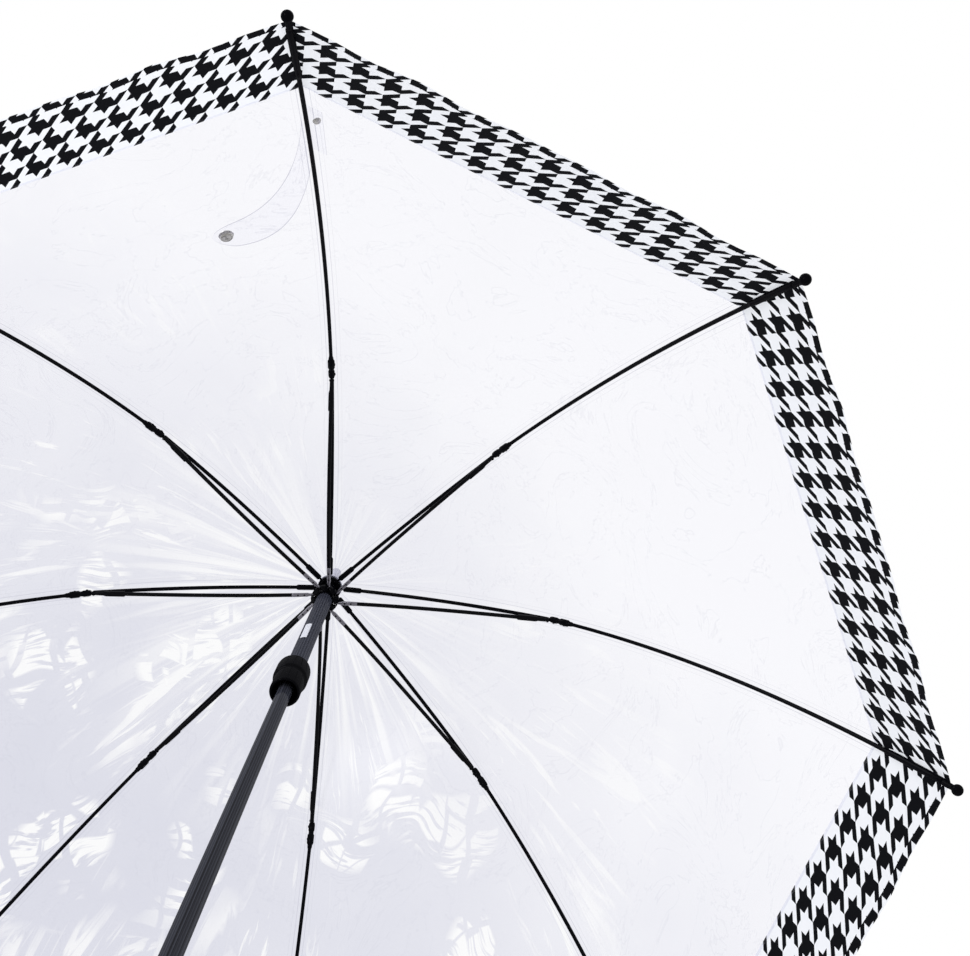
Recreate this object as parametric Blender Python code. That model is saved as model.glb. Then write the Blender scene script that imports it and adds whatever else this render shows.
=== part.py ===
# Clear bubble umbrella, open, upright. Metres, +Z up, origin at the middle of the hand grip on the shaft.
import math
import bpy
import bmesh
import numpy as np
from mathutils import Matrix

for ob in list(bpy.data.objects):
    bpy.data.objects.remove(ob, do_unlink=True)

# ---- driving dimensions
RIBS = 8
NOTCH_Z = 0.780           # height of the rib hinges above the grip
ROOT_R = 0.0085           # rib hinge radius
TIP_R = 0.420             # tip ball centre radius
DOME_DEPTH = 0.400        # tip ball centre below the rib hinges
ROOT_PULL = 0.211         # how far the rib keeps its level start
TIP_PULL = 0.200          # how far the rib keeps its steep end
TIP_SLOPE = 1.216         # rib slope below the horizontal at the tip, radians
CLIP_R = 0.193            # radius of the stretcher clip
GAP = 0.0003              # gap between neighbouring pieces
ROD_IN = 0.0015           # inner rib rod radius
ROD_OUT = 0.0013          # outer rib rod radius
SLEEVE_RIB = 0.0024       # sleeve on the rib root
FILM_OFFSET = 0.0032      # film's inner face above the rib's centre line
FILM_T = 0.0004           # film thickness
BORDER_W = 0.068          # printed border, seam to hem
HEM_BACK = 0.010          # hem ends this far before the tip ball's centre
SHAFT_R = 0.0050
SHAFT_BORE = 0.0043
BORE_R = SHAFT_R + GAP    # what slides or sits on the shaft
SLEEVE_R = 0.0068         # fluted runner sleeve
FLUTES = 20
CROWN_DROP = 0.038        # runner hinge plane below the rib hinges
CROWN_R = 0.0120
PIVOT_X = 0.0094          # stretcher hinge, radial
SIDE = 0.0032             # stretcher runs beside its rib
BAR_R = 0.0014            # stretcher half width
CLIP_SHIFT = 0.00075      # clip leans away from the stretcher
SHEATH_R = 0.0023         # pocket on the rib end
CLIP_DROP = 0.0032        # stretcher pivot under the rib line
WIRE_R = 0.00045
COLLAR_TOP = 0.243        # below the rib hinges
COLLAR_MID = 0.265
COLLAR_END = 0.292
HANDLE_TOP = 0.060
HANDLE_R = 0.0115
CROOK_R = 0.032
CROOK_Z = -0.020
FERRULE_H = 0.060


def material(name, rgb, rough, metal=0.0, alpha=1.0):
    m = bpy.data.materials.new(name)
    m.use_nodes = True
    p = m.node_tree.nodes["Principled BSDF"]
    p.inputs["Base Color"].default_value = (*rgb, 1.0)
    p.inputs["Roughness"].default_value = rough
    p.inputs["Metallic"].default_value = metal
    p.inputs["Alpha"].default_value = alpha
    m.diffuse_color = (*rgb, alpha)
    return m


MAT = {
    "clear_film": material("clear_film", (0.80, 0.82, 0.90), 0.08, alpha=0.3),
    "border_fabric": material("border_fabric", (0.25, 0.25, 0.26), 0.85),
    "rib_black": material("rib_black", (0.012, 0.012, 0.015), 0.35),
    "stretcher_steel": material("stretcher_steel", (0.08, 0.08, 0.09), 0.3, 0.8),
    "tip_plastic": material("tip_plastic", (0.012, 0.012, 0.014), 0.25),
    "shaft_steel": material("shaft_steel", (0.05, 0.05, 0.06), 0.25, 0.7),
    "black_plastic": material("black_plastic", (0.012, 0.012, 0.014), 0.3),
    "sleeve_plastic": material("sleeve_plastic", (0.05, 0.05, 0.06), 0.4),
    "wire_steel": material("wire_steel", (0.5, 0.5, 0.52), 0.3, 1.0),
    "ferrule_plastic": material("ferrule_plastic", (0.45, 0.45, 0.5), 0.35),
    "stud_metal": material("stud_metal", (0.6, 0.6, 0.62), 0.25, 1.0),
}


def make(name, verts, faces, mat, matrix=None, smooth=True):
    """One closed mesh object with outward normals."""
    me = bpy.data.meshes.new(name)
    me.from_pydata([tuple(map(float, v)) for v in verts], [], [tuple(map(int, f)) for f in faces])
    bm = bmesh.new()
    bm.from_mesh(me)
    bmesh.ops.recalc_face_normals(bm, faces=bm.faces)
    bm.to_mesh(me)
    bm.free()
    ob = bpy.data.objects.new(name, me)
    bpy.context.scene.collection.objects.link(ob)
    ob.data.materials.append(MAT[mat])
    if matrix is not None:
        ob.matrix_world = matrix
    for p in me.polygons:
        p.use_smooth = smooth
    return ob


def combine(target, tool, how):
    """Applies one exact boolean and drops the tool."""
    mod = target.modifiers.new("cut", "BOOLEAN")
    mod.operation, mod.solver, mod.object = how, "EXACT", tool
    bpy.context.view_layer.update()
    dep = bpy.context.evaluated_depsgraph_get()
    me = bpy.data.meshes.new_from_object(target.evaluated_get(dep))
    target.modifiers.clear()
    old = target.data
    target.data = me
    bpy.data.meshes.remove(old)
    bpy.data.objects.remove(tool, do_unlink=True)
    bm = bmesh.new()
    bm.from_mesh(me)
    bmesh.ops.remove_doubles(bm, verts=bm.verts, dist=0.000002)
    bmesh.ops.dissolve_degenerate(bm, edges=bm.edges, dist=0.000002)
    bm.to_mesh(me)
    bm.free()
    return target


def ring_faces(rings, sides, cap=True, loop=False):
    faces = []
    for k in range(rings if loop else rings - 1):
        a, b = k * sides, ((k + 1) % rings) * sides
        for i in range(sides):
            j = (i + 1) % sides
            faces.append((a + i, a + j, b + j, b + i))
    if cap:
        faces.append(tuple(range(sides)))
        faces.append(tuple((rings - 1) * sides + i for i in range(sides)))
    return faces


def lathe(profile, seg, z0=0.0):
    """Closed loop of (r, z) turned about Z. All r > 0."""
    prof = np.array(profile)
    a = np.arange(seg) * 2 * math.pi / seg
    verts = [(r * c, r * s, z + z0) for r, z in prof for c, s in zip(np.cos(a), np.sin(a))]
    return verts, ring_faces(len(prof), seg, cap=False, loop=True)


def lathe_solid(profile, seg, z0=0.0):
    """Open run of (r, z) turned about Z, its first and last rings closed by flat faces."""
    prof = np.array(profile)
    a = np.arange(seg) * 2 * math.pi / seg
    verts = [(r * c, r * s, z + z0) for r, z in prof for c, s in zip(np.cos(a), np.sin(a))]
    return verts, ring_faces(len(prof), seg)


def sweep(points, tangents, radii, sides):
    """Round or oval bar along a line in the XZ plane. radii are (across Y, in plane, shift along Y)."""
    a = (np.arange(sides) + 0.5) * 2 * math.pi / sides
    verts = []
    for (px, pz), (tx, tz), size in zip(points, tangents, radii):
        ry, rn, lean = (*size, 0.0)[:3]
        for c, s in zip(np.cos(a), np.sin(a)):
            verts.append((px - tz * rn * s, lean + ry * c, pz + tx * rn * s))
    return verts, ring_faces(len(points), sides)


# ---- the rib line: one cubic from the level root to the steep tip, as length along it
T = np.linspace(0.0, 1.0, 2001)[:, None]
P0, P3 = np.array([ROOT_R, 0.0]), np.array([TIP_R, -DOME_DEPTH])
P1 = P0 + np.array([ROOT_PULL, 0.0])
P2 = P3 - TIP_PULL * np.array([math.cos(TIP_SLOPE), -math.sin(TIP_SLOPE)])
CURVE = (1 - T) ** 3 * P0 + 3 * (1 - T) ** 2 * T * P1 + 3 * (1 - T) * T * T * P2 + T ** 3 * P3
ARC = np.r_[0.0, np.cumsum(np.hypot(*np.diff(CURVE, axis=0).T))]
LENGTH = float(ARC[-1])
S_CLIP = float(np.interp(CLIP_R, CURVE[:, 0], ARC))
S_HEM = LENGTH - HEM_BACK
S_SEAM = S_HEM - BORDER_W


def rib_at(s):
    """Points and unit tangents (x outward, z up) at lengths s, straight past both ends."""
    s = np.atleast_1d(np.array(s, float))
    inside = np.clip(s, 0.0, LENGTH)
    p = np.stack([np.interp(inside, ARC, CURVE[:, i]) for i in range(2)], 1)
    lo, hi = np.clip(inside - 2e-4, 0, LENGTH), np.clip(inside + 2e-4, 0, LENGTH)
    q = [np.stack([np.interp(v, ARC, CURVE[:, i]) for i in range(2)], 1) for v in (lo, hi)]
    t = q[1] - q[0]
    t /= np.hypot(t[:, 0], t[:, 1])[:, None]
    return p + t * (s - inside)[:, None], t


def place(k, x, z):
    az = 2 * math.pi * (k - 1) / RIBS
    return Matrix.Translation((x * math.cos(az), x * math.sin(az), z)) @ Matrix.Rotation(az, 4, "Z")


def rod(stations, origin, sides):
    """Swept bar through (s, half width, half height) stations of the rib line, about origin."""
    st = np.array(stations)
    p, t = rib_at(st[:, 0])
    return sweep(p - np.array(origin), t, st[:, 1:], sides)


def eye(hole, outer, half, seg=12):
    """Flat ring on the Y axis."""
    a = np.arange(seg) * 2 * math.pi / seg
    loop = [(hole, -half), (outer, -half), (outer, half), (hole, half)]
    verts = [(r * c, y, r * s) for r, y in loop for c, s in zip(np.cos(a), np.sin(a))]
    return verts, ring_faces(4, seg, cap=False, loop=True)


CLIP_P = rib_at(S_CLIP)[0][0]
ROOT_P = np.array([ROOT_R, 0.0])
NOTCH_EYE = 0.0020
STRETCH_A = np.array([PIVOT_X, -CROWN_DROP])
STRETCH_B = np.array([CLIP_P[0] - 0.0005, CLIP_P[1] - CLIP_DROP])


def inner_rib(k):
    st = [(0.0012, 0.0010, 0.0010), (0.0040, 0.0010, 0.0010), (0.0045, 0.0022, 0.0022),
          (0.0050, SLEEVE_RIB, SLEEVE_RIB), (0.0200, SLEEVE_RIB, SLEEVE_RIB), (0.0210, ROD_IN, ROD_IN)]
    st += [(s, ROD_IN, ROD_IN) for s in np.linspace(0.040, S_CLIP, 9)]
    st += [(S_CLIP + ROD_IN * math.sin(a), ROD_IN * math.cos(a), ROD_IN * math.cos(a))
           for a in (0.5, 1.0, 1.4)]
    m = place(k, ROOT_R, NOTCH_Z)
    ob = make(f"rib_inner_{k}", *rod(st, ROOT_P, 8), "rib_black", m)
    ring = make("ring", *eye(0.00075, NOTCH_EYE, 0.0011), "rib_black", m)
    combine(ob, ring, "UNION")


def outer_rib(k):
    s0 = S_CLIP + ROD_IN + 0.0005
    d = -CLIP_SHIFT
    st = [(s0, 0.0016, 0.0018, d), (s0 + 0.0010, 0.0022, 0.0026, d), (s0 + 0.0215, 0.0022, 0.0026, d),
          (s0 + 0.0232, 0.0018, 0.0020, d), (s0 + 0.0240, 0.0013, 0.0014, 0.0)]
    st += [(s, ROD_OUT, ROD_OUT, 0.0) for s in np.linspace(S_CLIP + 0.040, LENGTH - 0.064, 13)]
    st += [(LENGTH - 0.0620, SHEATH_R, SHEATH_R, 0.0), (LENGTH - 0.0370, SHEATH_R, SHEATH_R, 0.0),
           (LENGTH - 0.0125, SHEATH_R, SHEATH_R, 0.0)]
    make(f"rib_outer_{k}", *rod(st, CLIP_P, 8), "rib_black", place(k, CLIP_P[0], NOTCH_Z + CLIP_P[1]))


def tip(k):
    r = 0.0036
    st = [(LENGTH - 0.0122, 0.0021, 0.0021), (LENGTH - 0.0045, 0.0019, 0.0019)]
    st += [(LENGTH - r * math.cos(a), r * math.sin(a), r * math.sin(a))
           for a in (0.62, 1.1, math.pi / 2, 2.1, 2.6, 3.0)]
    end = rib_at(LENGTH)[0][0]
    make(f"tip_{k}", *rod(st, end, 10), "tip_plastic", place(k, end[0], NOTCH_Z + end[1]))


def stretcher(k):
    d = STRETCH_B - STRETCH_A
    span = float(np.hypot(*d))
    u = d / span
    run = [(0.0014, 0.0009, 0.0009), (0.0048, 0.0009, 0.0010), (0.0054, 0.0016, 0.0018),
           (0.0230, 0.0016, 0.0018), (0.0245, BAR_R, 0.0014), (span - 0.0125, BAR_R, 0.0014),
           (span - 0.0120, BAR_R, 0.0020), (span + 0.0050, BAR_R, 0.0020), (span + 0.0068, 0.0009, 0.0012)]
    pts = np.array([u * s for s, _, _ in run])
    v, f = sweep(pts, np.tile(u, (len(run), 1)), [(a, b) for _, a, b in run], 8)
    m = place(k, STRETCH_A[0], NOTCH_Z + STRETCH_A[1]) @ Matrix.Translation((0, SIDE, 0))
    ob = make(f"stretcher_{k}", v, f, "stretcher_steel", m)
    ring = make("ring", *eye(0.00105, 0.0021, 0.0010), "stretcher_steel", m)
    combine(ob, ring, "UNION")


def ridge(s, lift):
    """Film line over the rib, lift above the rib's centre line."""
    p, t = rib_at(s)
    return p + lift * np.stack([-t[:, 1], t[:, 0]], 1)


def film_rows(s, lift):
    """Three columns: mid panel, rib, mid panel, straight from rib to rib, less half a gap."""
    p = ridge(s, lift)
    c, h = math.cos(math.pi / RIBS), math.sin(math.pi / RIBS)
    half = p[:, 0] * h
    keep = 1.0 - 0.5 * GAP / half
    x = p[:, 0] + (p[:, 0] * c * c - p[:, 0]) * keep
    y = p[:, 0] * c * h * keep
    rows = np.stack([np.stack([x, -y, p[:, 1]], 1), np.stack([p[:, 0], 0 * y, p[:, 1]], 1),
                     np.stack([x, y, p[:, 1]], 1)], 1)
    return rows


def film(name, s, mat, k):
    """Thin closed solid of one rib's share of the dome."""
    low, top = film_rows(s, FILM_OFFSET), film_rows(s, FILM_OFFSET + FILM_T)
    n = len(s)
    verts = np.concatenate([low.reshape(-1, 3), top.reshape(-1, 3)])
    m = 3 * n
    faces = []
    for i in range(n - 1):
        for j in range(2):
            a = 3 * i + j
            faces.append((a, a + 1, a + 4, a + 3))
            faces.append((m + a, m + a + 3, m + a + 4, m + a + 1))
        for j in (0, 2):
            a = 3 * i + j
            faces.append((a, a + 3, m + a + 3, m + a))
    for i in (0, n - 1):
        for j in range(2):
            a = 3 * i + j
            faces.append((a, a + 1, m + a + 1, m + a))
    verts[:, 0] -= ROOT_R
    make(name, verts, faces, mat, place(k, ROOT_R, NOTCH_Z), smooth=False)


for k in range(1, RIBS + 1):
    inner_rib(k)
    outer_rib(k)
    tip(k)
    stretcher(k)
    film(f"clear_gore_{k}", np.r_[-0.0010, np.linspace(0.006, S_SEAM - GAP / 2, 20)], "clear_film", k)
    film(f"border_{k}", np.linspace(S_SEAM + GAP / 2, S_HEM, 5), "border_fabric", k)

# ---- shaft, notch with its wire, ferrule and handle
SHAFT_TOP = NOTCH_Z + 0.0120
loop = [(SHAFT_BORE, HANDLE_TOP - 0.030), (SHAFT_R, HANDLE_TOP - 0.030), (SHAFT_R, SHAFT_TOP),
        (SHAFT_BORE, SHAFT_TOP)]
make("shaft", *lathe(loop, 24), "shaft_steel")


def slots(x0, x1, y, half, z, height):
    """Eight radial boxes as one cutter."""
    verts, faces = [], []
    for k in range(RIBS):
        az = 2 * math.pi * k / RIBS
        c, s = math.cos(az), math.sin(az)
        base = len(verts)
        for zz in (z - height, z + height):
            for xx, yy in ((x0, y - half), (x1, y - half), (x1, y + half), (x0, y + half)):
                verts.append((xx * c - yy * s, xx * s + yy * c, zz))
        for f in ((3, 2, 1, 0), (4, 5, 6, 7), (0, 1, 5, 4), (1, 2, 6, 5), (2, 3, 7, 6), (3, 0, 4, 7)):
            faces.append(tuple(base + i for i in f))
    return verts, faces


def groove(radius, half, z0, z1):
    return lathe([(radius - half, z0), (radius + half, z0), (radius + half, z1), (radius - half, z1)], 32)


def wire(name, radius, z):
    a = np.arange(6) * math.pi / 3
    loop = [(radius + WIRE_R * c, z + WIRE_R * s) for c, s in zip(np.cos(a), np.sin(a))]
    make(name, *lathe(loop, 32), "wire_steel")


NOTCH_R = 0.0106
loop = [(BORE_R, -0.0090), (0.0061, -0.0090), (0.0061, -0.0024), (NOTCH_R - 0.0004, -0.0024),
        (NOTCH_R, -0.0020), (NOTCH_R, 0.0019), (NOTCH_R - 0.0004, 0.0023), (BORE_R, 0.0023)]
notch = make("top_notch", *lathe(loop, 32, NOTCH_Z), "black_plastic", smooth=False)
combine(notch, make("t", *slots(0.0063, 0.0130, 0.0, 0.0014, NOTCH_Z, 0.0040), "black_plastic"), "DIFFERENCE")
combine(notch, make("t", *groove(ROOT_R, 0.0008, NOTCH_Z - 0.0010, NOTCH_Z + 0.0040), "black_plastic"),
        "DIFFERENCE")
wire("notch_wire", ROOT_R, NOTCH_Z)

base = FILM_OFFSET + FILM_T + GAP
loop = [(BORE_R, base), (0.0110, base), (0.0110, base + 0.0010), (0.0066, base + 0.0022),
        (0.0060, 0.0300), (0.0049, FERRULE_H - 0.0012), (0.0040, FERRULE_H)]
v, f = lathe_solid([(BORE_R, 0.0126)] + loop, 24, NOTCH_Z)
make("ferrule", v, f, "ferrule_plastic")

a = np.linspace(0.0, math.pi, 12)
pts = [(0.0, HANDLE_TOP), (0.0, HANDLE_TOP - 0.002), (0.0, 0.02)]
pts += [(CROOK_R - CROOK_R * math.cos(t), CROOK_Z - CROOK_R * math.sin(t)) for t in a]
pts += [(2 * CROOK_R, CROOK_Z + 0.014), (2 * CROOK_R, CROOK_Z + 0.016)]
pts = np.array(pts)
tan = np.gradient(pts, axis=0)
tan /= np.hypot(tan[:, 0], tan[:, 1])[:, None]
rad = [(HANDLE_R - 0.0015,) * 2] + [(HANDLE_R,) * 2] * (len(pts) - 2) + [(HANDLE_R - 0.0015,) * 2]
handle = make("handle", *sweep(pts, tan, rad, 20), "black_plastic")
bore = lathe_solid([(BORE_R, HANDLE_TOP - 0.0303), (BORE_R, HANDLE_TOP + 0.010)], 24)
combine(handle, make("t", *bore, "black_plastic"), "DIFFERENCE")

# ---- runner: crown with the stretcher hinges, fluted sleeve and two-step collar
CZ = NOTCH_Z - CROWN_DROP
loop = [(BORE_R, -0.0060), (0.0090, -0.0060), (CROWN_R - 0.0006, -0.0030), (CROWN_R, -0.0024),
        (CROWN_R, 0.0022), (CROWN_R - 0.0004, 0.0026), (0.0069, 0.0026), (0.0069, 0.0050), (BORE_R, 0.0050)]
crown = make("runner_crown", *lathe(loop, 32, CZ), "black_plastic", smooth=False)
combine(crown, make("t", *slots(0.0071, 0.0150, SIDE, 0.0014, CZ, 0.0070), "black_plastic"), "DIFFERENCE")
hinge_r = math.hypot(PIVOT_X, SIDE)
combine(crown, make("t", *groove(hinge_r, 0.0008, CZ - 0.0010, CZ + 0.0060), "black_plastic"), "DIFFERENCE")
wire("runner_wire", hinge_r, CZ)

a = np.arange(FLUTES * 3) * 2 * math.pi / (FLUTES * 3)
depth = np.tile([0.0, 0.0005, 0.0], FLUTES)
z1, z0 = CZ - 0.0060 - GAP, NOTCH_Z - COLLAR_TOP + GAP
verts = []
for r, z in ((BORE_R, z0), (None, z0), (None, z1), (BORE_R, z1)):
    rr = SLEEVE_R - depth if r is None else np.full(len(a), r)
    verts += [(q * math.cos(t), q * math.sin(t), z) for q, t in zip(rr, a)]
make("runner_sleeve", verts, ring_faces(4, len(a), cap=False, loop=True), "sleeve_plastic", smooth=False)

loop = [(BORE_R, -COLLAR_END + 0.012), (0.0084, -COLLAR_END + 0.012), (0.0086, -COLLAR_END), (0.0098, -COLLAR_END), (0.0106, -COLLAR_END + 0.001), (0.0108, -COLLAR_MID),
        (0.0118, -COLLAR_MID + 0.0008), (0.0122, -COLLAR_MID + 0.002), (0.0122, -COLLAR_TOP - 0.002),
        (0.0114, -COLLAR_TOP), (BORE_R, -COLLAR_TOP)]
make("runner_collar", *lathe(loop, 28, NOTCH_Z), "black_plastic")

# ---- closing strap welded to the seam over rib 1, lying on the panel towards rib 8, with its press stud
STRAP_LIFT = FILM_OFFSET + FILM_T + GAP


def strap_edge(u):
    """Outer and inner edges as (length back from the tip, share of the half panel)."""
    outer = np.stack([0.108 + 0.210 * u - 0.117 * u * u, 0.025 + 0.145 * u + 0.47 * u * u], 1)
    inner = np.stack([0.172 + 0.168 * u - 0.115 * u * u, 0.025 + 0.25 * u + 0.35 * u * u], 1)
    return outer, inner


def strap_rows(u, v, lift):
    outer, inner = strap_edge(u)
    e = outer[:, None] + (inner - outer)[:, None] * v[None, :, None]
    p = ridge(LENGTH - e[..., 0].ravel(), lift)
    w = e[..., 1].ravel()
    c, h = math.cos(math.pi / RIBS), math.sin(math.pi / RIBS)
    x = p[:, 0] + (p[:, 0] * c * c - p[:, 0]) * w
    return np.stack([x, -p[:, 0] * c * h * w, p[:, 1]], 1)


def strap():
    u, v = np.linspace(0, 1, 11), np.linspace(0, 1, 5)
    low, top = strap_rows(u, v, STRAP_LIFT), strap_rows(u, v, STRAP_LIFT + FILM_T)
    n, m = len(u), len(v)
    size = n * m
    verts = np.concatenate([low, top])
    faces = []
    for i in range(n - 1):
        for j in range(m - 1):
            q = i * m + j
            faces.append((q, q + 1, q + m + 1, q + m))
            faces.append((size + q, size + q + m, size + q + m + 1, size + q + 1))
    edge = [j for j in range(m)] + [i * m + m - 1 for i in range(1, n)]
    edge += [(n - 1) * m + j for j in range(m - 2, -1, -1)] + [i * m for i in range(n - 2, 0, -1)]
    for q, r in zip(edge, edge[1:] + edge[:1]):
        faces.append((q, r, size + r, size + q))
    verts[:, 0] -= CLIP_P[0]
    verts[:, 2] -= CLIP_P[1]
    make("closing_strap", verts, faces, "clear_film", place(1, CLIP_P[0], NOTCH_Z + CLIP_P[1]), smooth=False)


def button(name, corners, radius, height):
    """Press stud cap on the film's outer face, over the middle of four film points."""
    mid = corners.mean(axis=0)
    ax = corners[1] - corners[0]
    ax /= np.linalg.norm(ax)
    nrm = np.cross(ax, corners[2] - corners[0])
    nrm /= np.linalg.norm(nrm)
    if nrm[0] < 0:
        nrm = -nrm
    ay = np.cross(nrm, ax)
    shape = [(0.95, 0.0), (1.0, 0.21), (0.91, 0.63), (0.55, 0.95), (0.22, 1.0)]
    v, f = lathe_solid([(r * radius, z * height) for r, z in shape], 16)
    v = np.array(v) @ np.stack([ax, ay, nrm]) + mid + nrm * GAP
    v[:, 0] -= CLIP_P[0]
    v[:, 2] -= CLIP_P[1]
    make(name, v, f, "stud_metal", place(1, CLIP_P[0], NOTCH_Z + CLIP_P[1]))


strap()
button("strap_stud", strap_rows(np.array([0.86, 0.94]), np.array([0.4, 0.6]), STRAP_LIFT + FILM_T), 0.0055, 0.0019)
# the socket it snaps into when the strap is wrapped round: beside the strap's root, on the next panel
back, away = np.array([0.1095, 0.1095, 0.1135, 0.1135]), np.array([0.040, 0.060, 0.040, 0.060])
p = ridge(LENGTH - back, FILM_OFFSET + FILM_T + GAP)
c, h = math.cos(math.pi / RIBS), math.sin(math.pi / RIBS)
socket = np.stack([p[:, 0] * (1 - (1 - c * c) * away), p[:, 0] * c * h * away, p[:, 1]], 1)
button("strap_socket", socket, 0.0030, 0.0012)
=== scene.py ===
import math
import bpy
import numpy as np
from mathutils import Matrix


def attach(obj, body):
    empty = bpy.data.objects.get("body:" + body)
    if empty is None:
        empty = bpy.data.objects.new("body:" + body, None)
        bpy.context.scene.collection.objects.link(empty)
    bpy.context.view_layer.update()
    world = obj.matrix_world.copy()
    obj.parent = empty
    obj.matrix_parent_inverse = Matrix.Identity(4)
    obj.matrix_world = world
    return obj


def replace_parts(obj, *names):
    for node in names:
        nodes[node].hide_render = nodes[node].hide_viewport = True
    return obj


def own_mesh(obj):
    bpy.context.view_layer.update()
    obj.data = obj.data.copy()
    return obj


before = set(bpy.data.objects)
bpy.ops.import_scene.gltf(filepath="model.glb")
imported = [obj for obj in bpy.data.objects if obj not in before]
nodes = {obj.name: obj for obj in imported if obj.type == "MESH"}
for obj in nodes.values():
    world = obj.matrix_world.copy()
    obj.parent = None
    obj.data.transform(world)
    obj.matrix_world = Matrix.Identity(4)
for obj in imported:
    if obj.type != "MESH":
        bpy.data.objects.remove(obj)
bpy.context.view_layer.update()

# ---- Shaft: a thin drawn steel tube, sprayed satin black. Its foot is pressed into the handle, and its
# top is pressed into the notch. It is the frame's own node with its finish.
def linear(code):
    """sRGB hex to linear RGBA."""
    c = np.array([int(code[i:i + 2], 16) for i in (1, 3, 5)]) / 255.0
    return (*np.where(c <= 0.04045, c / 12.92, ((c + 0.055) / 1.055) ** 2.4), 1.0)


def add(tree, kind, *first, **values):
    """Adds a shader node. Values in order go to its inputs from the first on, in_ values to its inputs by
    name or number, the others to its properties. A node as a value is linked by its first output in use."""
    node = tree.nodes.new("ShaderNode" + kind)
    inputs = dict(enumerate(first))
    for key, value in values.items():
        if key.startswith("in_"):
            inputs[int(key[3:]) if key[3:].isdigit() else key[3:].replace("_", " ")] = value
        else:
            setattr(node, key, value)
    for key, value in inputs.items():
        if isinstance(value, bpy.types.Node):
            value = next(out for out in value.outputs if out.enabled)
        if isinstance(value, bpy.types.NodeSocket):
            tree.links.new(value, node.inputs[key])
        else:
            node.inputs[key].default_value = value
    return node


def finish_of(name, code, rough, metal=0.0, ior=1.5, coat=0.0, shine=0.5):
    """Plain finish: one Principled shader with the numbers of the real one."""
    m = bpy.data.materials.new(name)
    m.use_nodes = True
    p = m.node_tree.nodes["Principled BSDF"]
    p.inputs["Base Color"].default_value = linear(code)
    p.inputs["Roughness"].default_value = rough
    p.inputs["Metallic"].default_value = metal
    p.inputs["IOR"].default_value = ior
    p.inputs["Coat Weight"].default_value = coat
    p.inputs["Specular IOR Level"].default_value = shine
    return m


def paint(material, *names):
    """Gives the frame's own nodes a material."""
    for name in names:
        nodes[name].material_slots[0].material = material


# satin black spray paint on drawn steel tube, with painted highlights: fine lighter lines along it stand in
# for its shine
satin = finish_of("satin_black_paint", "#1d1f25", 0.3, coat=0.15, shine=0.0)
tree = satin.node_tree
sep = add(tree, "SeparateXYZ", add(tree, "TexCoord").outputs["Object"])
turn = add(tree, "Math", sep.outputs[1], sep.outputs[0], operation="ARCTAN2")
fine = add(tree, "Math", turn, 7.0, operation="MULTIPLY")
lines = add(tree, "CombineXYZ", fine, sep.outputs[2])
# painted highlight streaks: noise stretched along the tube mixes lighter lines into the dark paint
highlight_streaks = add(tree, "TexNoise", in_Vector=lines, in_Scale=1.0, in_Detail=2.0)
level = add(tree, "MapRange", highlight_streaks, in_From_Min=0.38, in_From_Max=0.62)
mix = add(tree, "Mix", level, in_6=linear("#101116"), in_7=linear("#3a3c45"), data_type="RGBA")
tree.links.new(mix.outputs[2], tree.nodes["Principled BSDF"].inputs["Base Color"])
paint(satin, "shaft")

# ---- Handle: a crook moulded in black plastic, pushed over the shaft's foot. Its mouth and its end are
# rounded, and the hand holds its straight part.
NOTCH_Z = 0.780  # height of the rib hinges, as in the frame
GAP = 0.0003
SHAFT_R = 0.0050
BORE_R = SHAFT_R + GAP
HANDLE_TOP, HANDLE_R, MOUTH_DEEP = 0.060, 0.0115, 0.030
CROOK_R, CROOK_Z = 0.032, -0.020


def surface(name, P, material, wrap=False, uv=None, caps=False, body=None):
    """Mesh from a grid P[i, j] of points: rows i along, columns j around. wrap joins the last column to
    the first. caps closes both ends with a flat face. uv is per face corner, (rows-1, cols, 4, 2)."""
    n, m = P.shape[:2]
    i, j = np.meshgrid(np.arange(n - 1), np.arange(m if wrap else m - 1), indexing="ij")
    k = (j + 1) % m
    quads = np.stack([i * m + j, i * m + k, (i + 1) * m + k, (i + 1) * m + j], -1).reshape(-1, 4)
    loops = quads.ravel()
    starts = np.arange(len(quads)) * 4
    totals = np.full(len(quads), 4)
    if caps:
        loops = np.r_[loops, np.arange(m)[::-1], (n - 1) * m + np.arange(m)]
        starts = np.r_[starts, len(quads) * 4, len(quads) * 4 + m]
        totals = np.r_[totals, m, m]
    me = bpy.data.meshes.new(name)
    me.vertices.add(n * m)
    me.vertices.foreach_set("co", P.reshape(-1).astype(np.float32))
    me.loops.add(len(loops))
    me.loops.foreach_set("vertex_index", loops.astype(np.int32))
    me.polygons.add(len(starts))
    me.polygons.foreach_set("loop_start", starts.astype(np.int32))
    me.polygons.foreach_set("loop_total", totals.astype(np.int32))
    me.update(calc_edges=True)
    if uv is not None:
        layer = me.uv_layers.new(name="UVMap")
        layer.data.foreach_set("uv", uv.reshape(-1).astype(np.float32))
    me.validate()
    me.shade_smooth()
    if caps:
        me.set_sharp_from_angle(angle=math.radians(40))
    me.materials.append(material)
    ob = bpy.data.objects.new(name, me)
    bpy.context.scene.collection.objects.link(ob)
    if body:
        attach(ob, body)
    return ob


def tube(centre, along, radius, seg, across=(0.0, 1.0, 0.0)):
    """Rings round a line: centre (n, 3), unit direction along (n, 3), radius (n,)."""
    e1 = np.tile(np.array(across), (len(centre), 1))
    e2 = np.cross(along, e1)
    a = np.arange(seg) * 2 * math.pi / seg
    ring = e1[:, None] * np.cos(a)[None, :, None] + e2[:, None] * np.sin(a)[None, :, None]
    return centre[:, None] + ring * radius[:, None, None]


def turned(profile, seg, z=0.0):
    """Rings of an (r, z) run turned about the shaft's axis."""
    p = np.array(profile)
    a = -np.arange(seg) * 2 * math.pi / seg
    return np.stack([p[:, :1] * np.cos(a), p[:, :1] * np.sin(a), np.repeat(p[:, 1:] + z, seg, 1)], -1)


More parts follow.
